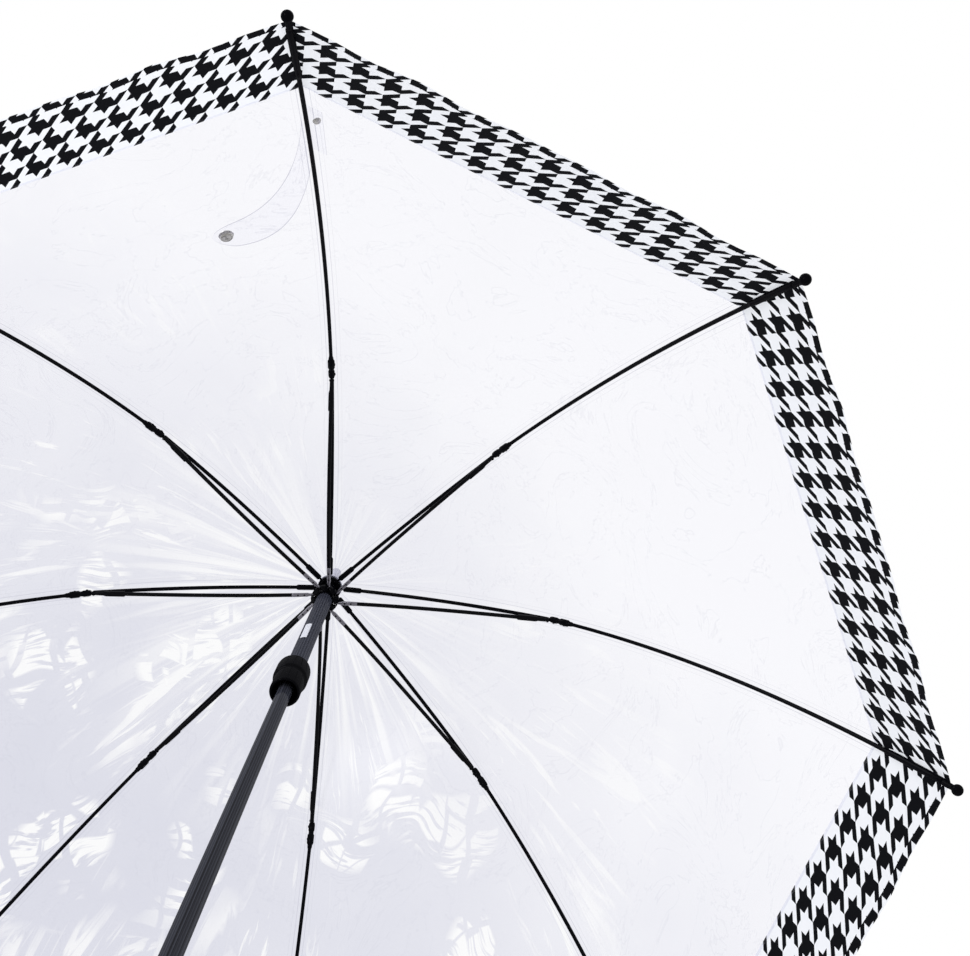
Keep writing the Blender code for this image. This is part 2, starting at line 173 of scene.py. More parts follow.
# gloss black moulded plastic, as on handle, collar and tips
black_plastic = finish_of("black_moulded_plastic", "#060609", 0.15, coat=0.06, shine=0.0)
t = np.linspace(0.0, math.pi, 49)
line = np.concatenate([
    [(0, 0, z) for z in (HANDLE_TOP, HANDLE_TOP - 0.0004, HANDLE_TOP - 0.0012, HANDLE_TOP - 0.0024,
                         0.040, 0.020, 0.0)],
    np.stack([CROOK_R - CROOK_R * np.cos(t), 0 * t, CROOK_Z - CROOK_R * np.sin(t)], 1),
    [(2 * CROOK_R, 0, CROOK_Z + h) for h in (0.006, 0.0136, 0.0148, 0.0156, 0.0160)]])
way = np.gradient(line, axis=0)
way /= np.linalg.norm(way, axis=1)[:, None]
r = np.full(len(line), HANDLE_R)
r[:4] = HANDLE_R - np.array([0.0024, 0.0012, 0.0004, 0.0])
r[-4:] = HANDLE_R - np.array([0.0, 0.0004, 0.0012, 0.0024])
body_rings = tube(line, way, r, 64)
mouth = (line[0] + (body_rings[0] - line[0]) * (BORE_R / r[0]))[None]
deep = mouth - np.array([0.0, 0.0, MOUTH_DEEP])
crook = np.concatenate([deep, mouth, body_rings])
handle = surface("crook_handle", crook, black_plastic, wrap=True, caps=True, body="frame")
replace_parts(handle, "handle")

# ---- Ferrule: a spike turned in pale grey plastic and pushed on the shaft's top. Its flange holds the
# film down on the notch.
base = 0.0036 + GAP
profile = [(BORE_R, 0.0126), (BORE_R, base), (0.0106, base), (0.0110, base + 0.0003), (0.0110, base + 0.0008),
           (0.0106, base + 0.0011), (0.0070, base + 0.0020), (0.0064, base + 0.0032), (0.0060, 0.0300),
           (0.0050, 0.0580), (0.0047, 0.0592), (0.0040, 0.0600)]
# frosted pale grey plastic: nearly white, with a soft wide shine
frosted = finish_of("frosted_grey_plastic", "#b9b9c6", 0.35)
ferrule = surface("ferrule_spike", turned(profile, 64, NOTCH_Z), frosted, wrap=True, caps=True, body="frame")
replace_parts(ferrule, "ferrule")

# ---- Notch, runner crown and their wires: two crowns moulded in black plastic with eight slots each. A
# ring of bare steel wire in each groove threads the rib eyes above and the stretcher forks below.
paint(black_plastic, "top_notch", "runner_crown")
# drawn steel wire: bright thin lines in the slots
paint(finish_of("bare_steel_wire", "#77787c", 0.35, metal=1.0), "notch_wire", "runner_wire")

# ---- Ribs: rods lacquered black, eight round the dome. The inner rod has a shrink sleeve and an eye on
# the notch wire. The outer rod starts in a moulded clip, riveted in two places, and ends in the hem's
# pocket.
RIBS = 8
ROOT_R, TIP_R, DOME_DEPTH = 0.0085, 0.420, 0.400
ROOT_PULL, TIP_PULL, TIP_SLOPE = 0.211, 0.200, 1.216  # Bezier handles of the curve, and its slope at the tip
CLIP_R = 0.193
T = np.linspace(0.0, 1.0, 4001)[:, None]
P0, P3 = np.array([ROOT_R, 0.0]), np.array([TIP_R, -DOME_DEPTH])
P1 = P0 + np.array([ROOT_PULL, 0.0])
P2 = P3 - TIP_PULL * np.array([math.cos(TIP_SLOPE), -math.sin(TIP_SLOPE)])
CURVE = (1 - T) ** 3 * P0 + 3 * (1 - T) ** 2 * T * P1 + 3 * (1 - T) * T * T * P2 + T ** 3 * P3
ARC = np.r_[0.0, np.cumsum(np.hypot(*np.diff(CURVE, axis=0).T))]
LENGTH = float(ARC[-1])
S_CLIP = float(np.interp(CLIP_R, CURVE[:, 0], ARC))


def rib_line(s):
    """Point (outward, up from the notch) and unit direction at length s of the rib, straight beyond it."""
    inside = np.clip(s, 0.0, LENGTH)
    p = np.stack([np.interp(inside, ARC, CURVE[:, i]) for i in range(2)], -1)
    a, b = np.clip(inside - 3e-4, 0, LENGTH), np.clip(inside + 3e-4, 0, LENGTH)
    near, past = (np.stack([np.interp(q, ARC, CURVE[:, i]) for i in range(2)], -1) for q in (a, b))
    d = past - near
    d /= np.linalg.norm(d, axis=-1, keepdims=True)
    return p + d * (s - inside)[..., None], d


def to_world(k, x, y, z):
    """From rib k's own plane (x outward, y to the next rib, z up from the notch) to the row frame."""
    az = 2 * math.pi * (k - 1) / RIBS
    c, s = math.cos(az), math.sin(az)
    return np.stack([x * c - y * s, x * s + y * c, z + NOTCH_Z], -1)


def along_rib(name, k, stations, body, shift=0.0, dip=0.0):
    """Round bar along rib k through rows of (length, radius), moved sideways by shift. Between notch and
    clip it may run below the film's curve by 4 dip u (1 - u), u = length / length to the clip."""
    q = np.array(stations)
    p, d = rib_line(q[:, 0])
    u = q[:, 0] / S_CLIP
    p[:, 1] -= 4 * dip * u * (1 - u)
    d[:, 1] -= 4 * dip * (1 - 2 * u) / S_CLIP
    d /= np.linalg.norm(d, axis=1, keepdims=True)
    az = 2 * math.pi * (k - 1) / RIBS
    along = np.stack([d[:, 0] * math.cos(az), d[:, 0] * math.sin(az), d[:, 1]], 1)
    centre = to_world(k, p[:, 0], np.full(len(q), shift), p[:, 1])
    rings = tube(centre, along, q[:, 1], 24, (-math.sin(az), math.cos(az), 0.0))
    return surface(name, rings, rib_black, wrap=True, caps=True, body=body)


def across_rib(name, k, at, profile, material, body, close=False):
    """Small turned piece across rib k at length at: rows of (radius, sideways). close makes a ring."""
    q = np.array(profile + profile[:1] if close else profile)
    a = -np.arange(20) * 2 * math.pi / 20
    centre = rib_line(np.array([at]))[0][0]
    x, z = centre[0] + q[:, :1] * np.cos(a), centre[1] + q[:, :1] * np.sin(a)
    P = to_world(k, x, np.repeat(q[:, 1:], 20, 1), z)
    return surface(name, P[:, ::-1], material, wrap=True, caps=not close, body=body)


# black lacquer on steel: deep black with a faint sheen
rib_black = finish_of("black_lacquered_rod", "#06060a", 0.4, coat=0.08, shine=0.0)
ROOT_END, CLIP_START, POCKET = 0.0200, S_CLIP + 0.0020, LENGTH - 0.0640
ROD_DIP = 0.0080  # the inner rod is nearly straight, and the film arches over it
inner_rod = [(0.0011, 0.0007), (0.0014, 0.0010), (0.0038, 0.0010), (0.0043, 0.0020), (0.0050, 0.0024),
             (ROOT_END - 0.001, 0.0024), (ROOT_END, 0.0021), (ROOT_END + 0.0004, 0.0016),
             (ROOT_END + 0.0010, 0.0015)]
inner_rod += [(h, 0.0016) for h in np.linspace(0.026, S_CLIP, 30)]
inner_rod += [(S_CLIP + 0.0006, 0.0014), (S_CLIP + 0.0011, 0.0011), (S_CLIP + 0.0014, 0.0006)]
clip_rod = [(0.0, 0.0014), (0.0003, 0.0020), (0.0009, 0.0024), (0.0025, 0.0027), (0.0070, 0.0027),
            (0.0076, 0.0025), (0.0080, 0.0022), (0.0102, 0.0022), (0.0107, 0.0026), (0.0112, 0.0029),
            (0.0180, 0.0029), (0.0188, 0.0026), (0.0195, 0.0021), (0.0218, 0.0020), (0.0226, 0.0017),
            (0.0240, 0.0015)]
outer_rod = [(CLIP_START + h, r) for h, r in clip_rod]
outer_rod += [(h, 0.0015) for h in np.linspace(S_CLIP + 0.030, POCKET - 0.002, 40)]
outer_rod += [(POCKET, 0.0014), (POCKET + 0.0012, 0.0019), (POCKET + 0.0030, 0.0021),
              (POCKET + 0.016, 0.0022), (POCKET + 0.034, 0.0023), (LENGTH - 0.0135, 0.0023),
              (LENGTH - 0.0128, 0.0020), (LENGTH - 0.0125, 0.0014)]
eye = [(0.00075, -0.0010), (0.0019, -0.0010), (0.0020, -0.0008), (0.0020, 0.0008), (0.0019, 0.0010),
       (0.00075, 0.0010)]
PIN_HALF = 0.0030
head = [(0.0003, -PIN_HALF), (0.0008, -PIN_HALF + 0.0001), (0.0011, -PIN_HALF + 0.0004),
        (0.0011, PIN_HALF - 0.0004), (0.0008, PIN_HALF - 0.0001), (0.0003, PIN_HALF)]
for k in range(1, RIBS + 1):
    inside = along_rib(f"inner_rod_{k}", k, inner_rod, f"rib_{k}", dip=ROD_DIP)
    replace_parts(inside, f"rib_inner_{k}")
    ring = across_rib(f"rib_eye_{k}", k, 0.0, eye, rib_black, f"rib_{k}", close=True)
    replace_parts(ring, f"rib_inner_{k}")
    outside = along_rib(f"outer_rod_{k}", k, outer_rod, f"rib_end_{k}", shift=-GAP)
    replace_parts(outside, f"rib_outer_{k}")
    for n, h in enumerate((0.0040, 0.0146)):
        across_rib(f"clip_pin_{k}_{n}", k, CLIP_START + h, head, rib_black, f"rib_end_{k}")

# ---- Tip balls: caps moulded in black plastic, a short socket with a ball at its end. They are pushed on
# the rib ends and the hem is sewn to them.
BALL_R = 0.0036
a = np.linspace(0.62, math.pi - 0.05, 22)
run = np.r_[-0.0122, -0.0121, -0.0117, -0.0060, -0.0040, -BALL_R * np.cos(a)]
rad = np.r_[0.0017, 0.0020, 0.0021, 0.0019, 0.0018, BALL_R * np.sin(a)]
for k in range(1, RIBS + 1):
    p, d = rib_line(LENGTH + run)
    centre = to_world(k, p[:, 0], 0 * run, p[:, 1])
    az = 2 * math.pi * (k - 1) / RIBS
    along = np.stack([d[:, 0] * math.cos(az), d[:, 0] * math.sin(az), d[:, 1]], 1)
    rings = tube(centre, along, rad, 32, (-math.sin(az), math.cos(az), 0.0))
    cap = surface(f"tip_ball_{k}", rings, black_plastic, wrap=True, caps=True, body=f"rib_end_{k}")
    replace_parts(cap, f"tip_{k}")

# ---- Stretchers: steel channels pressed and painted black. A bright plated fork with two punched holes
# hooks on the runner wire, and a thicker jacket is pinned under the rib's clip at the far end.
CROWN_DROP, PIVOT_X, CLIP_DROP = 0.038, 0.0094, 0.0032  # runner hinge below the notch, its radius; clip pivot
SIDE = 0.0032  # the fork sits beside its rib
# black paint on steel: a soft narrow shine along the bar
channel = finish_of("black_painted_channel", "#08080c", 0.35, coat=0.12, shine=0.0)
# nickel plate: bright where it faces the light, dark where it doesn't
plate = finish_of("bright_nickel_plate", "#74727a", 0.2, metal=1.0)
clip = rib_line(np.array([S_CLIP]))[0][0]
inner = np.array([PIVOT_X, -CROWN_DROP])
outer = np.array([clip[0] - 0.0005, clip[1] - CLIP_DROP])
SPAN = float(np.hypot(*(outer - inner)))
UNIT = (outer - inner) / SPAN


def channel_run(k, rows):
    """Flat-sided bar through rows of (length, half width, half height). Its side shift shrinks towards
    the clip as 3.2 mm (1 - length / span)^3, so that the end comes in under the rib."""
    q = np.array(rows)
    a = np.arange(16) * 2 * math.pi / 16
    box = np.sign(np.cos(a)) * np.abs(np.cos(a)) ** 0.4, np.sign(np.sin(a)) * np.abs(np.sin(a)) ** 0.4
    shift = SIDE * (1 - np.clip(q[:, 0] / SPAN, 0, 1)) ** 3
    up = q[:, 2:3] * box[1]
    x = inner[0] + q[:, :1] * UNIT[0] - up * UNIT[1]
    z = inner[1] + q[:, :1] * UNIT[1] + up * UNIT[0]
    return to_world(k, x, shift[:, None] + q[:, 1:2] * box[0], z)[:, ::-1]


def pin(name, k, at, radius, half, material, body, upright=False):
    """Turned pin with domed heads, at a length of stretcher k: a rivet across it, or upright in a hole."""
    dome = [(0.3, -1.0), (0.8, -0.95), (1.0, -0.8), (1.0, 0.8), (0.8, 0.95), (0.3, 1.0)]
    p = np.array(dome) * (radius, half)
    a = np.arange(16) * 2 * math.pi / 16
    shift = SIDE * (1 - at / SPAN) ** 3
    round_x, round_y, run = p[:, :1] * np.cos(a), p[:, :1] * np.sin(a), np.repeat(p[:, 1:], 16, 1)
    if upright:
        x = inner[0] + (at + round_x) * UNIT[0] - run * UNIT[1]
        z = inner[1] + (at + round_x) * UNIT[1] + run * UNIT[0]
        points = to_world(k, x, shift + round_y, z)[:, ::-1]
    else:
        x, z = inner[0] + at * UNIT[0] + round_x, inner[1] + at * UNIT[1] + round_y
        points = to_world(k, x, shift + run, z)
    return surface(name, points, material, wrap=True, caps=True, body=body)


EDGE = SPAN - 0.026
fork = [(-0.0016, 0.0005, 0.0010), (-0.0012, 0.0009, 0.0016), (0.0, 0.0010, 0.0019),
        (0.0040, 0.0010, 0.0018), (0.0056, 0.0015, 0.0018), (0.0170, 0.0016, 0.0018),
        (0.0190, 0.0015, 0.0016), (0.0195, 0.0012, 0.0013)]
bar = [(0.0180, 0.0010, 0.0011), (0.0187, 0.0015, 0.0014)]
bar += [(h, 0.0015, 0.0014) for h in np.linspace(0.03, EDGE, 16)]
bar += [(EDGE + 0.0006, 0.0022, 0.0020), (SPAN - 0.0105, 0.0022, 0.0020), (SPAN - 0.0090, 0.0019, 0.0015),
        (SPAN - 0.0082, 0.0016, 0.0012), (SPAN + 0.0008, 0.0015, 0.0012), (SPAN + 0.0015, 0.0011, 0.0009),
        (SPAN + 0.0017, 0.0006, 0.0005)]
for k in range(1, RIBS + 1):
    arm = f"stretcher_arm_{k}"
    for part, rows, stuff in (("fork", fork, plate), ("bar", bar, channel)):
        piece = surface(f"stretcher_{part}_{k}", channel_run(k, rows), stuff, wrap=True, caps=True, body=arm)
        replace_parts(piece, f"stretcher_{k}")
    for n, at in enumerate((0.0085, 0.0140)):
        pin(f"fork_plug_{k}_{n}", k, at, 0.0009, 0.0020, channel, arm, upright=True)
    pin(f"clip_rivet_{k}", k, SPAN, 0.0010, 0.0021, channel, arm)

# ---- Runner: a long fluted sleeve moulded in dark grey plastic, sliding on the shaft. A black collar of
# two steps at its foot is what the fingers push.
SLEEVE_R, FLUTES, FLUTE_DEEP, SLEEVE_TOP, SLEEVE_END = 0.0068, 20, 0.0007, -0.0421, -0.2426
# dark grey moulded plastic: dull, its flutes drawn as thin dark lines
grey_plastic = finish_of("dark_grey_fluted_plastic", "#393b45", 0.35, coat=0.15, shine=0.0)
a = -np.arange(FLUTES * 12) * 2 * math.pi / (FLUTES * 12)
depth = FLUTE_DEEP * (0.5 + 0.5 * np.cos(FLUTES * a)) ** 2
rows = [(BORE_R, SLEEVE_TOP), (SLEEVE_R - 0.0004, SLEEVE_TOP), (SLEEVE_R, SLEEVE_TOP - 0.0004)]
rows += [(SLEEVE_R, h) for h in np.linspace(SLEEVE_TOP - 0.003, SLEEVE_END + 0.003, 24)]
rows += [(SLEEVE_R, SLEEVE_END + 0.0004), (SLEEVE_R - 0.0004, SLEEVE_END), (BORE_R, SLEEVE_END),
         (BORE_R, SLEEVE_TOP)]
run = np.array(rows)
reach = run[:, :1] - depth * (run[:, :1] > BORE_R + 1e-6)
fluted = np.stack([reach * np.cos(a), reach * np.sin(a), np.repeat(run[:, 1:] + NOTCH_Z, len(a), 1)], -1)
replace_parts(surface("fluted_sleeve", fluted, grey_plastic, wrap=True, body="runner"), "runner_sleeve")
collar = [(BORE_R, -0.2800), (0.0084, -0.2802), (0.0086, -0.2912), (0.0088, -0.2920), (0.0094, -0.2920),
          (0.0102, -0.2914), (0.0106, -0.2900), (0.0107, -0.2680), (0.0108, -0.2662), (0.0114, -0.2654),
          (0.0120, -0.2645), (0.0122, -0.2630), (0.0122, -0.2456), (0.0120, -0.2440), (0.0113, -0.2430),
          (BORE_R, -0.2430)]
rings = turned((collar + collar[:1])[::-1], 64, NOTCH_Z)
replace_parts(surface("grip_collar", rings, black_plastic, wrap=True, body="runner"), "runner_collar")

# ---- Label: a small blank sticker of white paper, wrapped part way round the sleeve and stuck half way
# down it. It has no thickness to speak of.
LABEL_HALF, LABEL_TURN, LABEL_TOP, LABEL_END, PAPER = 0.37, -12, -0.143, -0.181, 0.00012
a = np.linspace(-LABEL_HALF, LABEL_HALF, 11) + math.radians(LABEL_TURN)
a, z = np.meshgrid(a, np.linspace(LABEL_TOP, LABEL_END, 4) + NOTCH_Z)
patch = np.stack([(SLEEVE_R + PAPER) * np.cos(a), (SLEEVE_R + PAPER) * np.sin(a), z], -1)
# white paper: a flat pale patch without shine
surface("blank_label", patch, finish_of("white_paper_label", "#d9dbe2", 0.6), body="runner")

# ---- Film: a canopy of clear PVC sheet, welded in eight panels and stretched over the ribs. Here it is
# cut at mid panel and at the clips, so that each share can go with its own rib when the umbrella closes.
FILM_LIFT = 0.0034
HEM_BACK, BORDER_W = 0.010, 0.068
S_HEM = LENGTH - HEM_BACK
S_SEAM = S_HEM - BORDER_W
C8, S8 = math.cos(math.pi / RIBS), math.sin(math.pi / RIBS)


def share(s, w, lift):
    """Film points at rows s (length along the rib) and columns w (-1 mid panel, 0 rib, 1 mid panel). The
    film is straight from rib to rib, so a point is ridge + w (mid - ridge)."""
    p, d = rib_line(s)
    ridge = p + lift * np.stack([-d[..., 1], d[..., 0]], -1)
    r, z = ridge[..., 0], ridge[..., 1]
    return r + (r * C8 * C8 - r) * np.abs(w), r * C8 * S8 * w, z


def film_uv(s, w):
    """Metres on the panel's own cloth: across from its middle, and along from the top, per face corner."""
    wide = rib_line(s)[0][..., 0] * S8
    side = np.sign(0.5 * (w[:-1, :-1] + w[1:, 1:]))
    corners = []
    for a, b in ((0, 1), (0, 0), (1, 0), (1, 1)):
        rows, cols = slice(a, w.shape[0] - 1 + a), slice(b, w.shape[1] - 1 + b)
        corners.append(np.stack([-side * (1 - np.abs(w[rows, cols])) * wide[rows, cols], s[rows, cols]], -1))
    return np.stack(corners, 2)


def gather(ob):
    """Gives a piece its own copy of its mesh."""
    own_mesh(ob)


def cut_share(name, k, s, w, lift, material, body):
    """One sheet over rib k with its cloth's own area."""
    x, y, z = share(s, w, lift)
    ob = surface(name, to_world(k, x, y, z)[:, ::-1], material, uv=film_uv(s, w)[:, ::-1], body=body)
    across = rib_line(s[:, w.shape[1] // 2])[0][:, 0] * 2 * S8
    gather(ob)
    return ob


def clear_film(name, low, high, glints, edged=False):
    """Clear PVC: lets nearly all light through with a faint lavender tint and mirrors a little. Painted light
    and shade split the dome into a lit half and a shaded half, painted highlights of folds and long creases
    run from the hub, painted glints of a window lie on the shaded half, and fine weld lines follow each rib.
    edged draws the cut edges of a narrow piece from its own UV."""
    m = bpy.data.materials.new(name)
    m.use_nodes = True
    t = m.node_tree
    t.nodes.clear()
    place = add(t, "TexCoord").outputs["Object"]
    sep = add(t, "SeparateXYZ", place)
    angle = add(t, "Math", sep.outputs[1], sep.outputs[0], operation="ARCTAN2")
    flat = add(t, "VectorMath", place, (1.0, 1.0, 0.0), operation="MULTIPLY")
    reach = add(t, "VectorMath", flat, operation="LENGTH")
    # painted highlights drawn out from the hub: broad creases, fine creases, and soft folds that fan out,
    # made white where they would catch the light
    streaks = []
    for turns, along, layer, detail, twist, least, most, top in (
            (8.0, 7.0, 8.0, 4.0, 1.8, 0.56, 0.61, 1.0), (26.0, 14.0, 26.0, 4.0, 1.2, 0.60, 0.66, 1.0),
            (11.0, 5.0, 3.0, 2.0, 0.6, 0.47, 0.62, 0.85)):
        around = add(t, "Math", angle, turns, operation="MULTIPLY")
        out = add(t, "Math", reach, along, operation="MULTIPLY")
        polar = add(t, "CombineXYZ", around, out, layer)
        grain = add(t, "TexNoise", in_Vector=polar, in_Scale=1.0, in_Detail=detail, in_Roughness=0.6,
                    in_Distortion=twist)
        streaks.append(add(t, "MapRange", grain, in_From_Min=least, in_From_Max=most, in_To_Max=top))
    broad, fine, fan = streaks
    cloud = add(t, "TexNoise", in_Vector=place, in_Scale=7.0, in_Detail=3.0, in_Roughness=0.6)
    # painted light and shade: one half of the dome is painted as lit from behind by the window, the other as
    # in the room's shade, and it is painted darker near the hub
    side = add(t, "VectorMath", place, (0.75, 0.65, 0.0), operation="DOT_PRODUCT")
    past = add(t, "Math", reach, 0.2, operation="SUBTRACT")
    far = add(t, "Math", past, 0.35, operation="MULTIPLY")
    lean = add(t, "Math", side, far, operation="ADD")
    soft = add(t, "Math", cloud, 0.25, operation="MULTIPLY")
    patchy = add(t, "Math", lean, soft, operation="ADD")
    shade = add(t, "MapRange", patchy, in_From_Min=-0.14, in_From_Max=0.36)
    # painted reflections of a window's panes and slats, bent by the waves of the film
    wave = add(t, "TexNoise", in_Vector=place, in_Scale=13.0, in_Detail=1.0)
    shake = add(t, "VectorMath", wave.outputs["Color"], in_Scale=0.06, operation="SCALE")
    bent = add(t, "VectorMath", place, shake, operation="ADD")
    cells = add(t, "TexVoronoi", in_Vector=bent, in_Scale=40.0, in_Randomness=0.3, distance="CHEBYCHEV")
    pane = add(t, "MapRange", cells, in_From_Min=0.44, in_From_Max=0.39)
    thin = add(t, "VectorMath", bent, (260.0, 30.0, 30.0), operation="MULTIPLY")
    slats = add(t, "TexNoise", in_Vector=thin, in_Scale=1.0, in_Detail=2.0, in_Roughness=0.6)
    slat = add(t, "MapRange", slats, in_From_Min=0.42, in_From_Max=0.50)
    glass = add(t, "Math", pane, slat, operation="MULTIPLY")
    # they come in patches, on the shaded half
    spots = add(t, "TexNoise", in_Vector=place, in_Scale=9.0, in_Detail=1.0, in_Roughness=0.6)
    spot = add(t, "MapRange", spots, in_From_Min=0.565, in_From_Max=0.61)
    dark_half = add(t, "MapRange", side, in_From_Min=0.02, in_From_Max=-0.08)
    group = add(t, "Math", spot, dark_half, operation="MULTIPLY")
    glint = add(t, "Math", glass, group, operation="MULTIPLY")
    # the painted crease highlights show where the film clouds, and the painted fold highlights near the hub,
    # both more on the shaded half
    clouded = add(t, "MapRange", cloud, in_From_Min=0.44, in_From_Max=0.60)
    shaded = add(t, "MapRange", side, in_From_Min=0.24, in_From_Max=-0.05, in_To_Max=0.9)
    zone = add(t, "Math", clouded, shaded, operation="MULTIPLY")
    near = add(t, "MapRange", reach, in_From_Min=0.22, in_From_Max=0.10)
    dim = add(t, "MapRange", side, in_From_Min=0.10, in_From_Max=-0.02)
    hub = add(t, "Math", near, dim, operation="MULTIPLY")
    either = add(t, "Math", broad, fine, operation="MAXIMUM")
    crease_glints = add(t, "Math", either, zone, operation="MULTIPLY")
    fold_glints = add(t, "Math", fan, hub, operation="MULTIPLY")
    crease_and_fold_glints = add(t, "Math", crease_glints, fold_glints, operation="MAXIMUM")
    white = add(t, "Math", crease_and_fold_glints, glint, operation="MAXIMUM")
    bright = add(t, "Math", white, glints, operation="MULTIPLY")
    # hairlines where the sheet was folded
    grain = add(t, "TexNoise", in_Vector=place, in_Scale=11.0, in_Detail=4.0, in_Roughness=0.6,
                in_Distortion=2.5)
    crackle = add(t, "Math", grain, 0.5, operation="SUBTRACT")
    crack = add(t, "Math", crackle, operation="ABSOLUTE")
    hair = add(t, "MapRange", crack, in_From_Min=0.011, in_From_Max=0.0, in_To_Max=0.16)
    # distance from the nearest rib's line
    turn = add(t, "Math", angle, RIBS / (2 * math.pi), operation="MULTIPLY")
    ahead = add(t, "Math", turn, 0.5, operation="ADD")
    part = add(t, "Math", ahead, operation="FRACT")
    middle = add(t, "Math", part, 0.5, operation="SUBTRACT")
    off = add(t, "Math", middle, operation="ABSOLUTE")
    arc = add(t, "Math", off, 2 * math.pi / RIBS, operation="MULTIPLY")
    away = add(t, "Math", arc, reach, operation="MULTIPLY")
    tint = add(t, "Mix", shade, in_6=linear(low), in_7=linear(high), data_type="RGBA")
    tint = add(t, "Mix", hair, in_6=tint, in_7=linear("#c9cad8"), data_type="RGBA")
    tint = add(t, "Mix", bright, in_6=tint, in_7=linear("#ffffff"), data_type="RGBA")
    # the weld's two edges beside the rib, as (distance, width, strength)
    for beside, width, strength in ((0.0042, 0.00035, 0.4), (0.0075, 0.00025, 0.15)):
        past = add(t, "Math", away, beside, operation="SUBTRACT")
        apart = add(t, "Math", past, operation="ABSOLUTE")
        line = add(t, "MapRange", apart, in_From_Min=width, in_From_Max=width * 0.5, in_To_Max=strength)
        tint = add(t, "Mix", line, in_6=tint, in_7=linear("#b4b5c4"), data_type="RGBA")
    if edged:
        own = add(t, "SeparateXYZ", add(t, "UVMap", uv_map="UVMap"))
        opposite = add(t, "Math", 1.0, own.outputs[1], operation="SUBTRACT")
        rim = add(t, "Math", own.outputs[1], opposite, operation="MINIMUM")
        cut = add(t, "MapRange", rim, in_From_Min=0.035, in_From_Max=0.015, in_To_Max=0.6)
        tint = add(t, "Mix", cut, in_6=tint, in_7=linear("#a9aaba"), data_type="RGBA")
    # a weak mirror with slight waves, over a sheet that lets the tint through
    clear = add(t, "BsdfTransparent", in_Color=tint)
    bump = add(t, "Bump", in_Strength=0.3, in_Distance=0.002, in_Height=cloud)
    gloss = add(t, "BsdfGlossy", in_Roughness=0.3, in_Normal=bump)
    both = add(t, "MixShader", 0.035, clear, gloss)
    add(t, "OutputMaterial", both)
    return m


# clear PVC: lavender where shade is painted and nearly white where light is painted, with painted white
# highlights and glints
film = clear_film("clear_pvc_film", "#dddee9", "#f9f9fd", 0.9)
W = np.linspace(-1, 1, 25)
for k in range(1, RIBS + 1):
    s, w = np.meshgrid(np.r_[-0.0010, np.linspace(0.004, S_CLIP, 30)], W, indexing="ij")
    top = cut_share(f"film_top_{k}", k, s, w, FILM_LIFT, film, f"rib_{k}")
    s, w = np.meshgrid(np.linspace(S_CLIP, S_SEAM + 0.0005, 48), W, indexing="ij")
    low = cut_share(f"film_low_{k}", k, s, w, FILM_LIFT, film, f"rib_end_{k}")
    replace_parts(top, f"clear_gore_{k}")
    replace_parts(low, f"clear_gore_{k}")

# ---- Border: a band of polyester cloth with a houndstooth check printed in 20 mm repeats, hemmed and
# sewn to the film's edge. Its panels are joined over the ribs, so the check breaks there, and it puckers
# a little.
REPEAT, HEM_FOLD = 0.0200, 0.005


def houndstooth():
    """Matt cloth that glows a little with light from behind. Squares of half a repeat are black where
    both ways are dark and white where both are light, with slanting stripes of a quarter repeat where
    they differ. The check jumps at the folded hem."""
    m = bpy.data.materials.new("houndstooth_polyester")
    m.use_nodes = True
    t = m.node_tree
    repeats = add(t, "VectorMath", add(t, "UVMap", uv_map="UVMap"), in_Scale=1.0 / REPEAT, operation="SCALE")
    sep = add(t, "SeparateXYZ", repeats)
    fold = add(t, "Math", sep.outputs[1], (S_HEM - HEM_FOLD) / REPEAT, operation="GREATER_THAN")
    ways, dark = [], []
    for way, jump in ((sep.outputs[0], 0.3), (sep.outputs[1], 0.4)):
        jumped = add(t, "Math", fold, jump, operation="MULTIPLY")
        ways.append(add(t, "Math", way, jumped, operation="ADD"))
        part = add(t, "Math", ways[-1], operation="FRACT")
        dark.append(add(t, "Math", part, 0.5, operation="LESS_THAN"))
    between = add(t, "Math", *ways, operation="SUBTRACT")
    slant = add(t, "Math", between, 2.0, operation="MULTIPLY")
    part = add(t, "Math", slant, operation="FRACT")
    stripe = add(t, "Math", part, 0.5, operation="LESS_THAN")
    space = add(t, "Math", 1.0, stripe, operation="SUBTRACT")
    over = add(t, "Math", stripe, dark[0], operation="MULTIPLY")
    under = add(t, "Math", space, dark[1], operation="MULTIPLY")
    black = add(t, "Math", over, under, operation="ADD")
    colour = add(t, "Mix", black, in_6=linear("#f0f2f7"), in_7=linear("#06070c"), data_type="RGBA")
    p = t.nodes["Principled BSDF"]
    t.links.new(colour.outputs[2], p.inputs["Base Color"])
    p.inputs["Roughness"].default_value = 0.9
    p.inputs["Specular IOR Level"].default_value = 0.25
    glow = add(t, "BsdfTranslucent", in_Color=colour)
    thin = add(t, "MixShader", 0.55, p, glow)
    t.links.new(thin.outputs[0], t.nodes["Material Output"].inputs["Surface"])
    return m


# houndstooth polyester: crisp black on white, matt, paler where light comes through it
check = houndstooth()
LAP, HEM_BOW, PUCKER = 0.002, 0.003, 0.0013  # lap over the film, hem's bow at mid panel, puckers' height
for k in range(1, RIBS + 1):
    s, w = np.meshgrid(np.linspace(0, 1, 24), W, indexing="ij")
    hem = S_HEM + HEM_BOW * np.sin(np.abs(w) * math.pi / 2)
    s = S_SEAM - LAP + (hem - S_SEAM + LAP) * s
    loose = (s - S_SEAM) / BORDER_W * np.sin(np.abs(w) * math.pi) * np.sin(np.abs(w) * 5 * math.pi)
    lift = FILM_LIFT + GAP + PUCKER * loose[..., None]
    border = cut_share(f"border_cloth_{k}", k, s, w, lift, check, f"rib_end_{k}")
    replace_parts(border, f"border_{k}")

# ---- Closing strap: a tongue cut from the same clear film, welded down beside rib 1 and lying along the
# panel. It is wrapped round the closed umbrella.
STRAP_LIFT = 0.0040


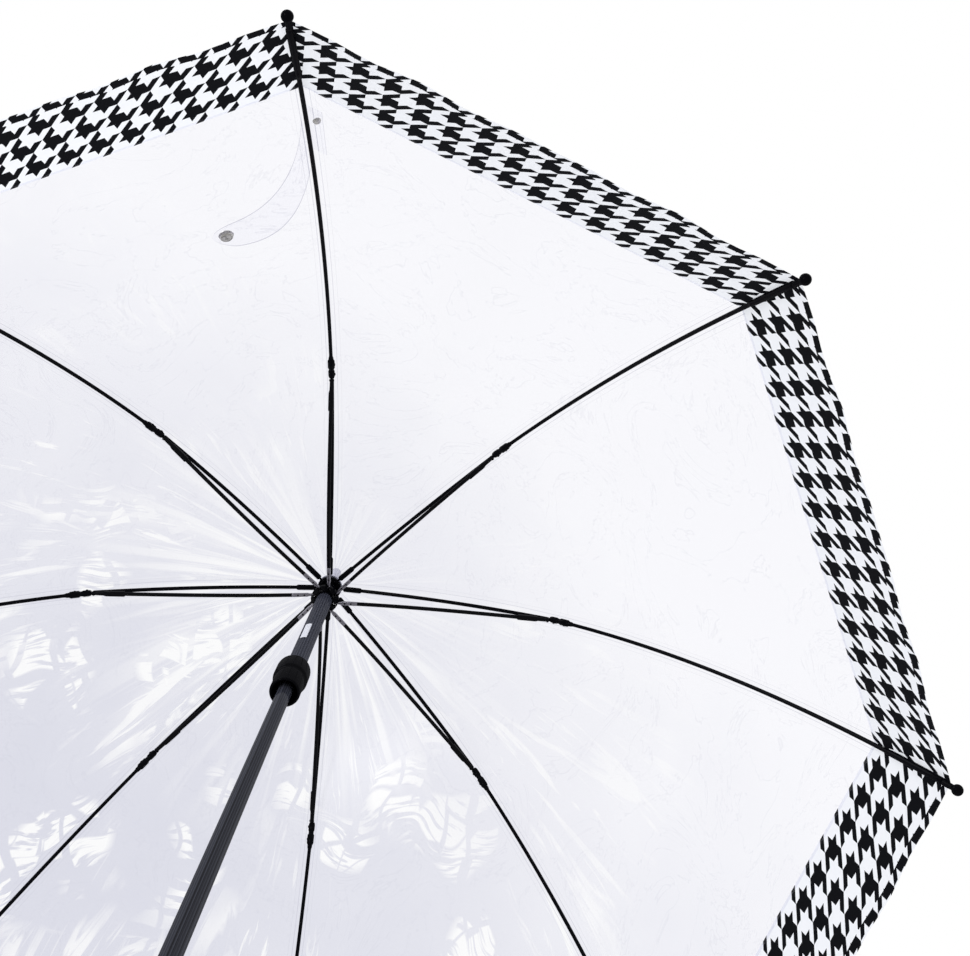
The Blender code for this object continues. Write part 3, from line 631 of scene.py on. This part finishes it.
def strap_point(u, v, lift):
    """u along the tongue, v across it. Its two edges are quadratics in length from the tip and share of
    panel."""
    back = (1 - v) * (0.108 + 0.210 * u - 0.117 * u * u) + v * (0.172 + 0.168 * u - 0.115 * u * u)
    w = (1 - v) * (0.025 + 0.145 * u + 0.47 * u * u) + v * (0.025 + 0.25 * u + 0.35 * u * u)
    return share(LENGTH - back, -w, lift)


def edge_uv(rows, cols):
    """0 to 1 along and across a grid piece, per face corner."""
    i, j = np.meshgrid(np.arange(rows - 1), np.arange(cols - 1), indexing="ij")
    return np.stack([np.stack([(i + a) / (rows - 1), (j + b) / (cols - 1)], -1)
                     for a, b in ((0, 0), (0, 1), (1, 1), (1, 0))], 2)


u, v = np.meshgrid(np.linspace(0, 1, 40), np.linspace(0, 1, 14), indexing="ij")
round_end = np.sqrt(np.clip(1 - np.clip((u - 0.86) / 0.14, 0, 1) ** 2, 0.0, 1))
v = 0.5 + (v - 0.5) * np.maximum(round_end, 0.12)
points = to_world(1, *strap_point(u, v, STRAP_LIFT))
# the same film, a little whiter where it lies double, with clean cut edges
strap_film = clear_film("strap_film", "#f6f6fa", "#fdfdff", 0.6, edged=True)
tongue = surface("strap_tongue", points, strap_film, uv=edge_uv(*points.shape[:2]), body="rib_end_1")
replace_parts(tongue, "closing_strap")
gather(tongue)
# root of the strap, carried over the rib and welded down on the next panel
u, v = np.meshgrid(np.linspace(0.100, 0.150, 8), np.linspace(0.0, 0.075, 6), indexing="ij")
tab_points = to_world(1, *share(LENGTH - u, v, STRAP_LIFT))[::-1]
tab = surface("strap_root_tab", tab_points, strap_film, uv=edge_uv(*tab_points.shape[:2]), body="rib_end_1")
gather(tab)

# ---- Press stud: two pressed metal halves, nickel plated and riveted through the film. The cap is near
# the end of the tongue and the smaller socket is beside the strap's root.
# nickel plate: a small bright spot with dark edges
nickel = finish_of("nickel_plate", "#a3a19d", 0.18, metal=1.0)


def stud(name, centre, inward, size):
    """Turned cap through the film about its own normal."""
    p = np.array([(0.0006, -0.0016), (0.0022, -0.0017), (0.0030, -0.0013), (0.0040, -0.0014),
                  (0.0046, -0.0008), (0.0046, 0.0004), (0.0052, 0.0008), (0.0055, 0.0012), (0.0050, 0.0020),
                  (0.0030, 0.0026), (0.0006, 0.0027)]) * size
    side = np.cross(inward, (0.0, 0.0, 1.0))
    side /= np.linalg.norm(side)
    up = np.cross(inward, side)
    a = np.arange(32) * 2 * math.pi / 32
    ring = side * np.cos(a)[:, None] + up * np.sin(a)[:, None]
    points = centre + p[:, :1, None] * ring[None] - p[:, 1:, None] * inward
    cap = surface(name, points, nickel, wrap=True, caps=True, body="rib_end_1")
    gather(cap)
    return cap


# the cap sits between the tongue's two middle columns, near its end, along the film's own normal there
stud_place = points[36, 6:8].mean(axis=0)
normal = np.cross(points[37, 6] - points[35, 6], points[36, 8] - points[36, 5])
normal *= -np.sign(normal[0]) / np.linalg.norm(normal)
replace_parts(stud("press_stud", stud_place, normal, 1.0), "strap_stud")
SOCKET_SIZE = 0.5
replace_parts(stud("strap_socket_cap", tab_points[5, 3], normal, SOCKET_SIZE), "strap_socket")

# ---- Setting: a bright white room with a pale floor under the umbrella, a broad soft lamp, a small low
# one, and the camera beside the handle, looking up under the canopy.
FLOOR_HALF, FLOOR_Z = 40.0, -1.0
corner = np.array([-FLOOR_HALF, FLOOR_HALF])
x, y = np.meshgrid(corner, corner[::-1], indexing="ij")
# pale matt floor: an even light grey without a mirror image
pale = finish_of("pale_floor", "#cfcfcf", 0.7)
floor = surface("floor", np.stack([x, y, np.full_like(x, FLOOR_Z)], -1), pale)
world = bpy.data.worlds.new("white_room")
world.use_nodes = True
tree = world.node_tree
# dim below the horizon, bright above it, and a little less bright overhead
up = add(tree, "SeparateXYZ", add(tree, "TexCoord").outputs["Generated"]).outputs[2]
lit = add(tree, "MapRange", up, in_From_Min=-0.15, in_From_Max=0.1, in_To_Min=0.25, in_To_Max=1.35)
top = add(tree, "MapRange", up, in_From_Min=0.55, in_From_Max=0.78, in_To_Min=0.0, in_To_Max=0.35)
sky = add(tree, "Math", lit, top, operation="SUBTRACT")
tree.links.new(sky.outputs[0], tree.nodes["Background"].inputs[0])
bpy.context.scene.world = world


def lamp(name, at, toward, size, power):
    """Square soft box at a place, facing a point."""
    data = bpy.data.lights.new(name, "AREA")
    data.shape, data.size, data.energy = "SQUARE", size, power
    ob = bpy.data.objects.new(name, data)
    way = np.array(at, float) - np.array(toward, float)
    way /= np.linalg.norm(way)
    side = np.cross((0.0, 0.0, 1.0) if abs(way[2]) < 0.99 else (1.0, 0.0, 0.0), way)
    side /= np.linalg.norm(side)
    m = np.eye(4)
    m[:3, 0], m[:3, 1], m[:3, 2], m[:3, 3] = side, np.cross(way, side), way, at
    ob.matrix_world = Matrix(m.tolist())
    bpy.context.scene.collection.objects.link(ob)


lamp("key", (1.2, -1.4, 1.6), (0, 0, 0.5), 1.2, 10.0)
lamp("low", (0.9, -0.7, -0.5), (0, 0, 0.6), 0.25, 2.5)

camera = bpy.data.objects.new("camera", bpy.data.cameras.new("camera"))
camera.location = (0.2917, 0.1064, -0.3632)
camera.rotation_euler = (math.radians(170.833), math.radians(0.745), math.radians(86.345))
camera.data.lens = 48.47
camera.data.clip_start = 0.01
bpy.context.scene.collection.objects.link(camera)
bpy.context.scene.camera = camera
bpy.context.scene.view_settings.view_transform = "Standard"
